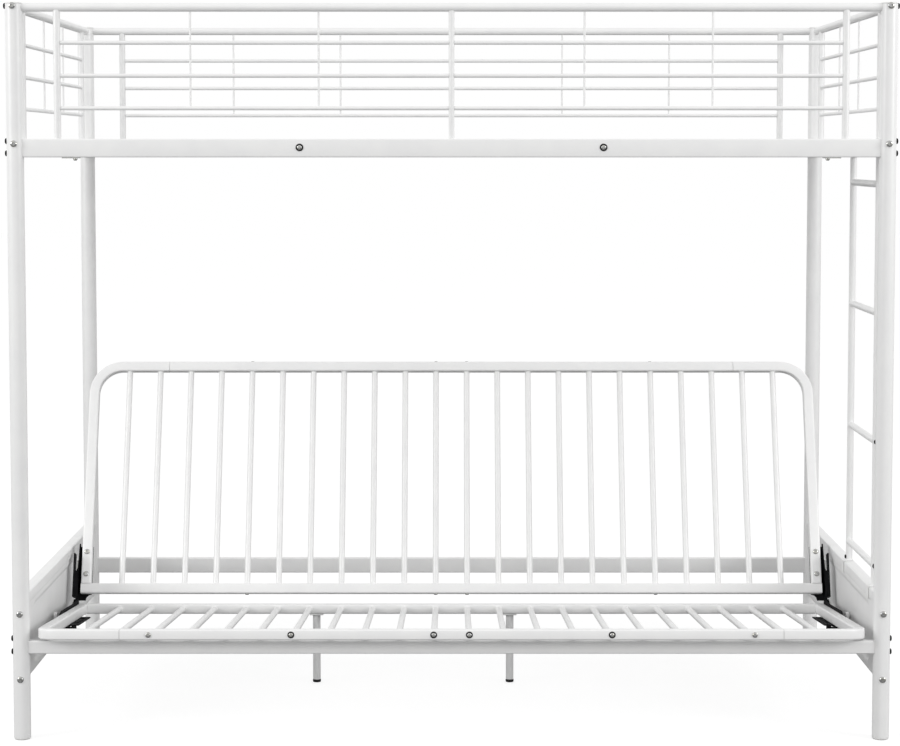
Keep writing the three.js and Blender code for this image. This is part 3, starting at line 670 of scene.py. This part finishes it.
def end_panel(side):
    y0, y1 = PANEL_YS
    rim_x, rim_z = side * (RIM_X + RIM_WIDTH / 2), (PANEL_TOP + RIM_BOTTOM) / 2
    rim = swept([(rim_x, y0, rim_z), (rim_x, y1, rim_z)],
                rounded(RIM_WIDTH, PANEL_TOP - RIM_BOTTOM, 3))
    foot = block((side * SHEET_X, y0, PANEL_BOTTOM),
                 (side * (SHEET_X + FOOT_WIDTH), y1, PANEL_BOTTOM + SHEET_THICKNESS), 1.2)
    return merged([pressed_sheet(side), rim, foot])


for side, sign in (("left", -1), ("right", 1)):
    finished(f"panel_{side}", end_panel(sign), "frame", "white_paint", [f"end_panel_{side}"])

# %% [markdown]
# Plates of the ladder and the mechanism are cut and folded sheet. Their CAD shapes are
# right, only too sharp. They could be drawn again, but then they might miss the moving
# parts' fit. So each one is copied, its triangles are merged to flat faces, and its edges
# are rounded a little. A rounded edge catches a thin line of light, as real steel does.
# %% Softened copies of CAD plates
FLAT_ANGLE, SHARP_ANGLE = math.radians(1), math.radians(50)


def softened(name, radius):
    bm = bmesh.new()
    bm.from_mesh(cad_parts[name].data)
    bmesh.ops.scale(bm, vec=(1000, 1000, 1000), verts=bm.verts)
    bmesh.ops.remove_doubles(bm, verts=bm.verts, dist=0.01)
    bmesh.ops.dissolve_limit(bm, angle_limit=FLAT_ANGLE, verts=bm.verts, edges=bm.edges)
    sharp = [e for e in bm.edges
             if len(e.link_faces) == 2 and e.calc_face_angle(0) > SHARP_ANGLE]
    bmesh.ops.bevel(bm, geom=sharp, offset=radius, segments=2, affect="EDGES",
                    clamp_overlap=True)
    return mesh_from(bm)


def soften(name, node, body, slot, radius):
    finished(name, softened(node, radius), body, slot, [node], edge=30)


print("softened() ready")

# %% [markdown]
# The ladder is part of the right end: two stiles between the upper end rail and the panel,
# with four rungs. All are bars with welds from the same tree as the guards, so that their
# ends look alike. Each stile stands on a small folded plate that laps the panel's rim.
# %% Ladder
STILE_YS = (POST_YS[0] + 95, POST_YS[0] + 422)
STILE_FOOT, STILE_TOP, LADDER_BAR = 333.5, 1314, 16
RUNGS = (1253.0, 959.8, 664.6, 378.2)
RUNG_START = 7.5  # from the stile's centre, inside its skin
for name, y in zip(("front", "rear"), STILE_YS):
    stile = upright(POST_X, y, STILE_FOOT, STILE_TOP, LADDER_BAR)
    finished(f"stile_{name}", stile, "frame", "white_paint", [f"ladder_stile_{name}"])
    soften(f"stile_foot_{name}", f"ladder_foot_plate_{name}", "frame", "white_paint", 0.7)
for number, z in enumerate(RUNGS, 1):
    start = (POST_X, STILE_YS[0] + RUNG_START, z)
    length = STILE_YS[1] - STILE_YS[0] - 2 * RUNG_START
    rung = bar(start, (1, 0, 0), (0, 1, 0), length, LADDER_BAR, 0.8)
    finished(f"rung_{number}", rung, "frame", "white_paint", [f"ladder_rung_{number}"])

# %% [markdown]
# The futon's two frames share one pivot. Each frame could be drawn where it stands, but both
# lean, and every length would need sines. So each is worked out flat, with y along the frame
# and z towards the side that carries the mattress, and is then turned into place about the
# pivot. The side tubes are bent, and run on to a seam in the far rail, as in the shop.
# %% Shapes of the futon's frames
PIVOT = Vector((0, 59.463, 194.560))
SEAT_TILT = math.radians(5.9)
BACK_LEAN = math.radians(19.7)
SEAT_PLACE = Matrix.Translation(PIVOT) @ Matrix.Rotation(-SEAT_TILT, 4, "X")
BACK_PLACE = Matrix.Translation(PIVOT) @ Matrix.Rotation(math.pi / 2 - BACK_LEAN, 4, "X")
PLANE = -9.3  # of the tubes' centres, from the pivot
FUTON_WIDE, FUTON_DEEP = 25, 24  # the tube, in the frame's plane and across it
FUTON_TUBE = rounded(FUTON_WIDE, FUTON_DEEP, 4)
SLATS, SLAT_PITCH, SLAT_TUBE, SLAT_START = 22, 78.905, 14.5, 12.3
BEND_STEPS = 24


def bent_side(side, half_width, open_end, far_rail, seam, bend):
    """One side tube: straight, a quarter bend, then along the far rail to the seam."""
    way = math.copysign(1, far_rail - open_end)
    x, radius = half_width - FUTON_WIDE / 2, bend - FUTON_WIDE / 2
    points = [(x, open_end)]
    for i in range(BEND_STEPS + 1):
        turn = math.pi / 2 * i / BEND_STEPS
        points.append((x - radius + radius * math.cos(turn),
                       far_rail + way * (radius * math.sin(turn) - radius)))
    points.append((seam, far_rail))
    return swept([(side * px, py, PLANE) for px, py in points], FUTON_TUBE)


def cross_tube(y, half):
    return swept([(-half, y, PLANE), (half, y, PLANE)], FUTON_TUBE)


def slat_field(near, far, bead):
    near, far = near + SLAT_START, far - SLAT_START
    slats = bar_row(SLATS, SLAT_PITCH, far - near, SLAT_TUBE, bead)
    return moved(slats, Matrix.Translation((-(SLATS - 1) / 2 * SLAT_PITCH, near, PLANE)))


print("pivot at", tuple(round(v, 1) for v in PIVOT), "mm")

# %% [markdown]
# Seat and back are alike: two bent side tubes, a straight rail between their seams, and a
# field of round slats with one more cross tube at the end by the pivot. Each frame could be
# one mesh, but it is four pieces here, as in the CAD. A real seam is a thin dark line round
# the tube, so a small gap is left at each.
# %% Futon frames
SEAT_FRONT, SEAT_REAR, BACK_FOOT, BACK_TOP = -580.69, -3.1, 42.04, 616.04
SEAT_START, BACK_START = SEAT_REAR + 12.5, BACK_FOOT + 12.6  # of the side tubes
SEAT_HALF, SEAT_CROSS_HALF, BACK_HALF = 934, 908.8, 930
SEAT_SEAM, BACK_SEAM, SEAM_GAP = 745.0, 726.0, 0.4
SEAT_BEND, BACK_BEND = 50.0, 85.0
SEAT_BEAD, BACK_BEAD = 1.8, 1.1
for side, sign in (("left", -1), ("right", 1)):
    tube = bent_side(sign, SEAT_HALF, SEAT_START, SEAT_FRONT, SEAT_SEAM + SEAM_GAP, SEAT_BEND)
    finished(f"seat_tube_{side}", moved(tube, SEAT_PLACE), "seat", "white_paint",
             [f"seat_side_{side}"])
    tube = bent_side(sign, BACK_HALF, BACK_START, BACK_TOP, BACK_SEAM + SEAM_GAP, BACK_BEND)
    finished(f"back_tube_{side}", moved(tube, BACK_PLACE), "back", "white_paint",
             [f"back_side_{side}"])
front_tube = moved(cross_tube(SEAT_FRONT, SEAT_SEAM - SEAM_GAP), SEAT_PLACE)
finished("seat_front_tube", front_tube, "seat", "white_paint", ["seat_front_rail"])
top_tube = moved(cross_tube(BACK_TOP, BACK_SEAM - SEAM_GAP), BACK_PLACE)
finished("back_top_tube", top_tube, "back", "white_paint", ["back_top_rail"])
seat_field = merged([cross_tube(SEAT_REAR, SEAT_CROSS_HALF),
                     slat_field(SEAT_FRONT, SEAT_REAR, SEAT_BEAD)])
finished("seat_slats", moved(seat_field, SEAT_PLACE), "seat", "white_paint", ["seat_grille"])
back_field = merged([cross_tube(BACK_FOOT, BACK_HALF),
                     slat_field(BACK_FOOT, BACK_TOP, BACK_BEAD)])
finished("back_slats", moved(back_field, BACK_PLACE), "back", "white_paint", ["back_grille"])

# %% [markdown]
# Black folded plates hold the pivot at each end, with a bright zinc link on the back's arm.
# The carriage below the pivot slides in the sloping slot of a track on the end panel. These
# plates pass each other closely as the futon folds, so they are softened copies of the CAD.
# %% Mechanism
PLATES = (("seat_arm", "seat", "black_paint", 0.5), ("back_arm", "back", "black_paint", 0.5),
          ("back_link", "back", "zinc_plate", 0.5), ("carriage", "carriage", "black_paint", 0.5),
          ("slide_shoe", "carriage", "black_plastic", 0.8), ("track", "frame", "white_paint", 0.6))
for base, body, slot, radius in PLATES:
    for side in ("left", "right"):
        soften(f"{base}_{side}_plate", f"{base}_{side}", body, slot, radius)

# %% [markdown]
# Two round legs stand under the seat's rear rail, each with a thin saddle and a black foot.
# They could be drawn with the seat and tilted with it. But they stand upright while the seat
# is tilted, so the leg is drawn in the bed's directions and only its saddle in the seat's.
# %% Support legs
LEG_START, LEG_TUBE = 8.2, 19
LEG_BELOW = 12.2  # the leg's top, below the rear rail's centre
LEG_Y = PIVOT.y + SEAT_REAR * math.cos(SEAT_TILT) + PLANE * math.sin(SEAT_TILT)
RAIL_CENTRE = PIVOT.z - SEAT_REAR * math.sin(SEAT_TILT) + PLANE * math.cos(SEAT_TILT)
LEG_TOP = RAIL_CENTRE - LEG_BELOW
SADDLE_HALF, SADDLE_TOP, SADDLE_BOTTOM = 17, PLANE - 12.3, PLANE - 15.3
SADDLE_YS = (SEAT_REAR - FUTON_WIDE / 2, SEAT_REAR + FUTON_WIDE / 2)
LEG_FOOT = [(0, 1), (9.1, 1), (10.1, 2), (10.1, 7.2), (9.6, 8), (0, 8)]
for side, x in (("left", -337), ("right", 146)):
    tube = swept([(x, LEG_Y, LEG_START), (x, LEG_Y, LEG_TOP)], ring(LEG_TUBE, 32))
    saddle = block((x - SADDLE_HALF, SADDLE_YS[0], SADDLE_BOTTOM),
                   (x + SADDLE_HALF, SADDLE_YS[1], SADDLE_TOP), 0.8)
    leg = merged([tube, moved(saddle, SEAT_PLACE)])
    finished(f"leg_{side}", leg, "seat", "white_paint", [f"support_leg_{side}"])
    foot = moved(lathed(LEG_FOOT), Matrix.Translation((x, LEG_Y, 0)))
    finished(f"leg_end_{side}", foot, "seat", "black_plastic", [f"support_leg_foot_{side}"])

# %% [markdown]
# Bolt heads are small, many and alike, so Geometry Nodes set them too. The tree puts a copy
# of one head on each point of a cloud, turned to the direction that the point carries, and
# scaled by an input. Copies could be placed in a loop, but this tree takes any head, and its
# size can be changed later.
# %% A tree that sets bolt heads
def head_tree():
    g, given, identifiers = new_tree("set_heads", {
        "Geometry": "Geometry", "Head": "Object", "Size": "Float", "Finish": "Material"})
    head = g.node("GeometryNodeObjectInfo", None, {"Object": given["Head"]}, output="Geometry")
    facing = g.node("GeometryNodeInputNamedAttribute", {"data_type": "FLOAT_VECTOR"},
                    {"Name": "facing"})
    turn = g.node("FunctionNodeAlignRotationToVector", {"axis": "Z"}, {"Vector": facing})
    points = g.node("GeometryNodeMeshToPoints", None, {"Mesh": given["Geometry"]})
    scale = g.node("ShaderNodeCombineXYZ", None, {axis: given["Size"] for axis in "XYZ"})
    copies = g.node("GeometryNodeInstanceOnPoints", None, {
        "Points": points, "Instance": head, "Rotation": turn, "Scale": scale})
    end_tree(g, copies, given["Finish"])
    return g.tree, identifiers


HEAD_TREE, HEAD_INPUTS = head_tree()
print("bolt heads:", len(HEAD_TREE.nodes), "nodes")

# %% [markdown]
# Flat-pack beds are put together with button-head screws: a low dome with a six-sided socket
# for a key. A plain dome would look like a rivet, because the dark pit is what the eye
# finds. So the dome's rings go on over the edge and down into a hexagon. A washer and a bolt
# end are turned.
# %% Heads and washers
DOME = ((1, 0), (1, 0.35), (0.93, 0.66), (0.78, 0.9), (0.6, 1))  # shares of radius and height
HEAD_SIDES = 24


def socket_head(radius, height, key, depth):
    bm = bmesh.new()
    rings = [[bm.verts.new((x, y, height * rise)) for x, y in ring(2 * radius * out, HEAD_SIDES)]
             for out, rise in DOME]
    for z in (height, height - depth):
        pit = []
        for j in range(HEAD_SIDES):
            a = 2 * math.pi * j / HEAD_SIDES
            reach = key / math.cos((a % (math.pi / 3)) - math.pi / 6)
            pit.append(bm.verts.new((reach * math.cos(a), reach * math.sin(a), z)))
        rings.append(pit)
    for a, b in zip(rings, rings[1:]):
        for j in range(HEAD_SIDES):
            n = (j + 1) % HEAD_SIDES
            bm.faces.new((a[j], a[n], b[n], b[j]))
    bm.faces.new(rings[-1])
    bm.faces.new(reversed(rings[0]))
    return closed_mesh(bm)


BUTTON = socket_head(7.5, 3.8, 3.0, 3.4)
SMALL = socket_head(4.4, 2.6, 1.8, 2.3)
WASHER = lathed([(0, 0), (8.2, 0), (8.6, 0.5), (8.2, 1.1), (0, 1.1)], 28)
BOLT_END = lathed([(0, 0), (5.0, 0), (5.0, 2.2), (2.8, 5.2), (0, 5.2)], 24)
print("a button head has", len(BUTTON.polygons), "faces")

# %% [markdown]
# A set of heads is a list of places, each a point and the direction that the head faces. The
# points become the cloud that the tree works on, and the directions become an attribute of
# theirs. The heads of one body and one kind are then one piece.
# %% Setting the heads
def heads(places, head_mesh, slot, size):
    cloud = bpy.data.meshes.new("cloud")
    cloud.from_pydata([point for point, _ in places], [], [])
    facing = cloud.attributes.new("facing", "FLOAT_VECTOR", "POINT")
    for item, (_, way) in zip(facing.data, places):
        item.vector = way
    model = bpy.data.objects.new("head_model", head_mesh.copy())
    bpy.context.scene.collection.objects.link(model)
    values = {"Head": model, "Size": size, "Finish": FINISH[slot]}
    mesh = grown(HEAD_TREE, HEAD_INPUTS, values, cloud)
    bpy.data.objects.remove(model)
    return mesh


def set_heads(name, places, head_mesh, body, slot, size=1.0):
    finished(name, heads(places, head_mesh, slot, size), body, slot)


print("set_heads() ready")

# %% [markdown]
# Each post has zinc heads at its front or rear, for the rails along the bed, and small ones
# at its side, for the end frames. The side heads are coloured near-black. That is painted shade
# on zinc heads that sit in shade there. The long rails have bolts with a black ring. The heads
# stand a little inside the tube's skin, because a flat underside would leave a gap on a round
# tube.
# %% Bolts of the frame
POST_SKIN, RAIL_SKIN = 18.7, 10
ALONG_HEIGHTS, ACROSS_HEIGHTS = (1649, 1344, 288, 139), (1649, 1350, 1323, 230, 200)
RAIL_BOLT_Z, RING_THICKNESS = 1336, 0.9
along_places, across_places = [], []
for _, x, y in CORNERS:
    out_x, out_y = math.copysign(1, x), math.copysign(1, y)
    along_places += [((x, y + out_y * POST_SKIN, z), (0, out_y, 0)) for z in ALONG_HEIGHTS]
    across_places += [((x + out_x * POST_SKIN, y, z), (out_x, 0, 0)) for z in ACROSS_HEIGHTS]
set_heads("post_bolts", along_places, BUTTON, "frame", "zinc_plate")
# the side heads' black is painted shade, not a black finish of the bolts
set_heads("post_side_bolts", across_places, SMALL, "frame", "black_paint", 1.5)


def rail_places(out):
    return [((x, y + way * (RAIL_SKIN + out), RAIL_BOLT_Z), (0, way, 0))
            for y, way in zip(POST_YS, (-1, 1)) for x in (-CROSS_BAR_X, CROSS_BAR_X)]


set_heads("rail_bolt_rings", rail_places(0), WASHER, "frame", "black_plastic")
set_heads("rail_bolts", rail_places(RING_THICKNESS), BUTTON, "frame", "zinc_plate", 0.72)

# %% [markdown]
# Near each end the front side rail has a small plate with a bolt end under it, which shows as
# a dark line below the rail. It could clamp the deck. The plate is a strip of sheet, so it is
# a block, and the bolt end is turned, with a cone at its tip.
# %% Clamp plates under the front rail
CLAMP_TOP, CLAMP_BOTTOM = 1313.8, 1311.8  # the rail's underside is at 1314
CLAMP_XS, CLAMP_HALF_DEPTH, CLAMP_BOLT_X = (827, 867), 8, 838
clamp_parts, bolt_ends = [], []
for sign in (-1, 1):
    clamp_parts.append(block(
        (sign * CLAMP_XS[0], POST_YS[0] - CLAMP_HALF_DEPTH, CLAMP_BOTTOM),
        (sign * CLAMP_XS[1], POST_YS[0] + CLAMP_HALF_DEPTH, CLAMP_TOP), 0.4))
    bolt_ends.append(((sign * CLAMP_BOLT_X, POST_YS[0], CLAMP_BOTTOM + 0.1), (0, 0, -1)))
finished("clamp_plates", merged(clamp_parts), "frame", "zinc_plate")
set_heads("clamp_bolts", bolt_ends, BOLT_END, "frame", "zinc_plate")

# %% [markdown]
# Heads fix the two lower rungs through both stiles, and one the rear stile at its foot.
# They are coloured near-black. That is painted shade on zinc heads that sit in shade on the
# stiles.
# The upper rungs show none, so they are welded. Two zinc heads hold each track to the end
# panel. Such heads could be left out at this size, but they are what shows how the bed is
# put together.
# %% Bolts of the ladder and the tracks
STILE_SKIN, STILE_FOOT_BOLT = 7.8, 340
LOW_RUNGS = RUNGS[2:]
rung_places = []
for z in LOW_RUNGS:
    rung_places.append(((POST_X, STILE_YS[0] - STILE_SKIN, z), (0, -1, 0)))
    rung_places.append(((POST_X, STILE_YS[1] + STILE_SKIN, z), (0, 1, 0)))
foot_place = ((POST_X - STILE_SKIN, STILE_YS[1], STILE_FOOT_BOLT), (-1, 0, 0))
# the black of these heads is painted shade
set_heads("ladder_bolts", rung_places, BUTTON, "frame", "black_paint", 0.85)
set_heads("ladder_foot_bolts", [foot_place], SMALL, "frame", "black_paint", 1.1)
TRACK_X, TRACK_BOLTS = 965, ((64, 140), (24, 156))  # y and z on the track
track_places = [((sign * TRACK_X, y, z), (sign, 0, 0)) for sign in (-1, 1) for y, z in TRACK_BOLTS]
set_heads("track_bolts", track_places, SMALL, "frame", "zinc_plate", 1.2)

# %% [markdown]
# The seat's front rail has six bolts, and the middle four have black rings. The back has
# small heads on its top and bottom rails, and two zinc heads on the front of each side tube.
# A head also closes each end of the pivot. The places are worked out in each frame's own
# directions, like the tubes, and turned with them.
# %% Bolts of the futon
TUBE_SKIN = 12.4  # just inside the edge of the tube
SEAT_RING_XS, SEAT_END_XS = (-360, -40, 40, 360), (-680, 680)
BACK_XS, BACK_SIDE_YS = (-512.9, -39.45, 39.45, 512.9), (78, 134)


def on_frame(place, local, way):
    return tuple(place @ Vector(local)), tuple(place.to_3x3() @ Vector(way))


def seat_places(xs, out=0):
    return [on_frame(SEAT_PLACE, (x, SEAT_FRONT - TUBE_SKIN - out, PLANE), (0, -1, 0)) for x in xs]


set_heads("seat_bolt_rings", seat_places(SEAT_RING_XS), WASHER, "seat", "black_plastic", 0.9)
ringed_places = seat_places(SEAT_RING_XS, RING_THICKNESS)
set_heads("seat_bolts", ringed_places, BUTTON, "seat", "zinc_plate", 0.65)
set_heads("seat_end_bolts", seat_places(SEAT_END_XS), BUTTON, "seat", "zinc_plate", 0.85)

back_places = []
for x in BACK_XS:
    back_places.append(on_frame(BACK_PLACE, (x, BACK_TOP + TUBE_SKIN, PLANE), (0, 1, 0)))
    back_places.append(on_frame(BACK_PLACE, (x, BACK_FOOT - TUBE_SKIN, PLANE), (0, -1, 0)))
set_heads("back_bolts", back_places, SMALL, "back", "zinc_plate", 1.15)
FACE, SIDE_TUBE_X = PLANE + FUTON_DEEP / 2 - 0.1, BACK_HALF - FUTON_WIDE / 2
side_places = [on_frame(BACK_PLACE, (sign * SIDE_TUBE_X, y, FACE), (0, 0, 1))
               for sign in (-1, 1) for y in BACK_SIDE_YS]
set_heads("back_side_bolts", side_places, BUTTON, "back", "zinc_plate", 0.9)

PIVOT_X = 944.8
pivot_places = [(tuple(PIVOT + Vector((sign * PIVOT_X, 0, 0))), (sign, 0, 0)) for sign in (-1, 1)]
set_heads("pivot_heads", pivot_places, BUTTON, "carriage", "zinc_plate", 1.1)

# %% [markdown]
# The floor is plain and white in the picture. A floor that is simply white would throw so
# much light up on the bed that its tubes lose their shade. So the floor is much darker for
# every other ray than for the camera's, and for the camera it also glows. The rest of its
# tone is lit, and keeps the bed's shadow.
# %% Floor
FLOOR_HALF = 30  # m
FLOOR_FOR_LIGHT, FLOOR_FOR_CAMERA = 0.27, 0.9
GLOW, GLOW_SHARE = 1.12, 0.7


def grey(level):
    return (level, level, level, 1)


def floor_white():
    material = bpy.data.materials.new("studio_white")
    g = fresh_graph(material)
    seen = g.node("ShaderNodeLightPath", output="Is Camera Ray")
    tone = g.node("ShaderNodeMix", {"data_type": "RGBA"},
                  {0: seen, 6: grey(FLOOR_FOR_LIGHT), 7: grey(FLOOR_FOR_CAMERA)}, output=2)
    lit = g.node("ShaderNodeBsdfDiffuse", None, {"Color": tone})
    glow = g.node("ShaderNodeEmission", None, {"Color": grey(1), "Strength": GLOW})
    shader = g.node("ShaderNodeMixShader", None, {0: seen * GLOW_SHARE, 1: lit, 2: glow})
    g.node("ShaderNodeOutputMaterial", None, {"Surface": shader})
    return material


CORNER_SIGNS = ((-1, -1), (1, -1), (1, 1), (-1, 1))
floor_corners = [(x * FLOOR_HALF, y * FLOOR_HALF, 0) for x, y in CORNER_SIGNS]
floor_mesh = bpy.data.meshes.new("floor")
floor_mesh.from_pydata(floor_corners, [], [(0, 1, 2, 3)])
floor_mesh.materials.append(floor_white())
floor = bpy.data.objects.new("floor", floor_mesh)
bpy.context.scene.collection.objects.link(floor)
floor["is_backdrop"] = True
print("floor:", 2 * FLOOR_HALF, "m wide")

# %% [markdown]
# The world is an even white dome, and gives most of the light. White tubes on a white ground
# need it a little below full strength, or they would melt into it. The camera still sees it
# at full white, and what the zinc mirrors is nearly so.
# %% World
DOME_LIGHT, EXTRA_SEEN, EXTRA_MIRRORED = 0.8, 0.2, 0.1
world = bpy.data.worlds.new("studio")
bpy.context.scene.world = world
g = fresh_graph(world)
seen = g.node("ShaderNodeLightPath", output="Is Camera Ray")
mirrored = g.node("ShaderNodeLightPath", output="Is Glossy Ray")
strength = DOME_LIGHT + EXTRA_SEEN * seen + EXTRA_MIRRORED * mirrored
sky = g.node("ShaderNodeBackground", None, {"Color": grey(1), "Strength": strength})
g.node("ShaderNodeOutputWorld", None, {"Surface": sky})
print("world:", len(world.node_tree.nodes), "nodes")

# %% [markdown]
# Two large soft lamps stand before the bed, well out to the left and the right, and light
# its end panels and the outer sides of its tubes. One lamp by the camera would leave the
# panels dark. Further round to the side the two would make the edges of the posts brighter
# than their middles, which the photograph doesn't show.
# %% Lamps
LAMP_X, LAMP_Y, LAMP_Z = 5.7, -3.5, 2.7  # m
LAMP_SIZE, LAMP_POWER = 2.5, 185  # m and W
AIM = Vector((0, 0, 0.8))
for name, x in (("left_light", -LAMP_X), ("right_light", LAMP_X)):
    light = bpy.data.lights.new(name, "AREA")
    light.shape = "RECTANGLE"
    light.size = light.size_y = LAMP_SIZE
    light.energy = LAMP_POWER
    lamp = bpy.data.objects.new(name, light)
    lamp.location = (x, LAMP_Y, LAMP_Z)
    lamp.rotation_euler = (AIM - Vector(lamp.location)).to_track_quat("-Z", "Y").to_euler()
    bpy.context.scene.collection.objects.link(lamp)
    print(name, LAMP_POWER, "W")

# %% [markdown]
# The Standard view transform keeps white paint white. The boxes of the bed before and after
# the dressing are written out, so that they can be compared.
# %% Finish
bpy.context.scene.view_settings.view_transform = "Standard"


def plain_numbers(value):
    if isinstance(value, (list, tuple, Vector)):
        return [plain_numbers(v) for v in value]
    return float(value)


{"cad": plain_numbers(cad_box), "visual": plain_numbers(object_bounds())}
